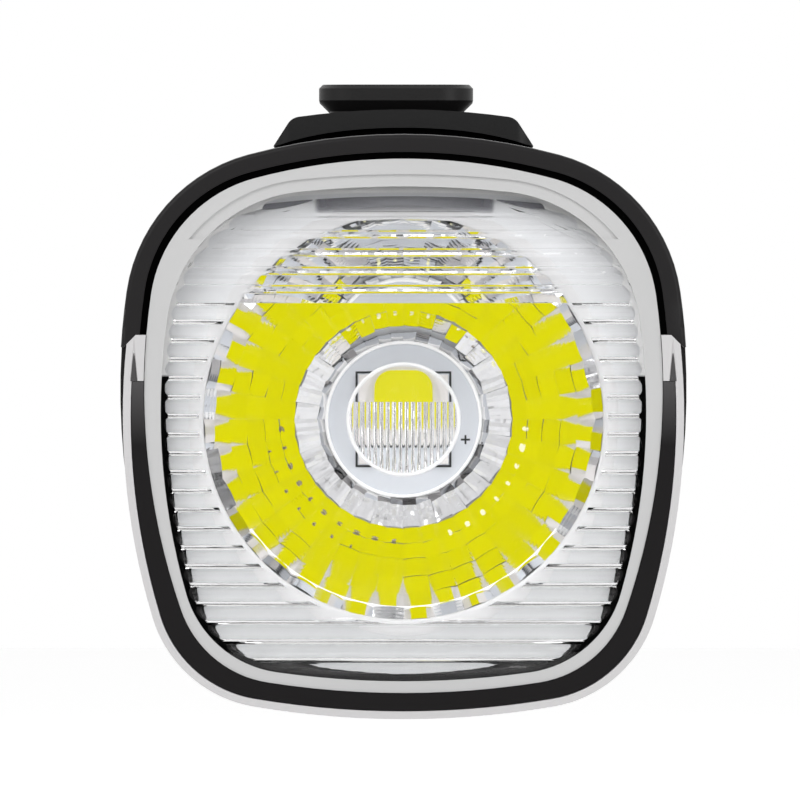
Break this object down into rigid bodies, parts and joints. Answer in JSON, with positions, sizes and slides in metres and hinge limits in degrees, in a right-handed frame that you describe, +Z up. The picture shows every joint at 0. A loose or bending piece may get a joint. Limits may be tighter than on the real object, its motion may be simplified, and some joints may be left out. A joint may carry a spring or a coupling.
{
  "type": "bike headlight",
  "caption": "Battery bike headlight with a faceted mirror dish behind a ribbed lens, a pale light-guide rim, and a dovetail foot on top that hangs it under a bar mount.",
  "frame": {"origin": "on the flat top face of the mounting foot, midway along it and above the lamp's axis", "axes": "the lens faces -Y, the power button and charging socket face +Y, +Z is up out of the foot, and +X is to the right as seen from the front"},
  "size_m": [0.044, 0.103, 0.0495],
  "materials": {
    "shell_black": "black anodised, fine satin",
    "frame_pale": "pale grey, satin",
    "lens_clear": "clear, polished, ribbed inside",
    "seal_black": "matte",
    "guide_pale": "pale translucent grey, satin",
    "inlay_black": "black, satin",
    "dish_mirror": "metallised facets",
    "board_white": "pale solder mask",
    "package_white": "white",
    "phosphor_yellow": "yellow phosphor",
    "dome_clear": "clear silicone",
    "screw_steel": "black oxide on steel",
    "pad_grey": "soft",
    "sink_bare": "milled",
    "cell_wrap": "steel can in a plastic sleeve",
    "tab_nickel": "bright strip",
    "cradle_plastic": "moulded",
    "board_green": "solder mask",
    "switch_dark": "moulded",
    "socket_metal": "bright metal shell",
    "signal_lens": "milky",
    "wire_sleeve": "soft sleeve",
    "gasket_black": "matte",
    "cap_black": "moulded black, fine grain",
    "ring_dark": "dark anodised",
    "button_rubber": "soft touch",
    "cover_rubber": "soft touch",
    "mount_black": "glass-filled, satin",
    "foot_black": "glass-filled, satin"
  },
  "bodies": {
    "housing": {"body_shell": "shell_black", "lens_frame": "frame_pale", "front_lens": "lens_clear", "lens_seal": "seal_black", "side_light_guide": "guide_pale", "guide_strip": "inlay_black", "reflector": "dish_mirror", "led_board": "board_white", "led_package": "package_white", "led_phosphor": "phosphor_yellow", "led_dome": "dome_clear", "led_board_screws": "screw_steel", "thermal_pad": "pad_grey", "heatsink": "sink_bare", "battery_cells": "cell_wrap", "cell_tabs": "tab_nickel", "battery_cradle": "cradle_plastic", "control_board": "board_green", "tact_switch": "switch_dark", "charging_socket": "socket_metal", "signal_lights": "package_white", "signal_window": "signal_lens", "wires": "wire_sleeve", "cap_gasket": "gasket_black", "rear_cap": "cap_black", "cap_screws": "screw_steel", "button_ring": "ring_dark", "cover_pin": "screw_steel", "mount_base": "mount_black", "mount_pad": "gasket_black", "mount_foot": "foot_black", "mount_screws": "screw_steel"},
    "button": {"power_button": "button_rubber"},
    "cover": {"port_cover": "cover_rubber"}
  },
  "joints": [
    {"name": "button_press", "type": "slide", "parent": "housing", "child": "button", "axis": [0, -1, 0], "range_m": [0, 0.0006], "stiffness_N_per_m": 1200, "springref_m": -0.0008},
    {"name": "cover_hinge", "type": "hinge", "parent": "housing", "child": "cover", "pos_m": [0, 0.06173, -0.02158], "axis": [1, 0, 0], "range_deg": [0, 95]}
  ]
}
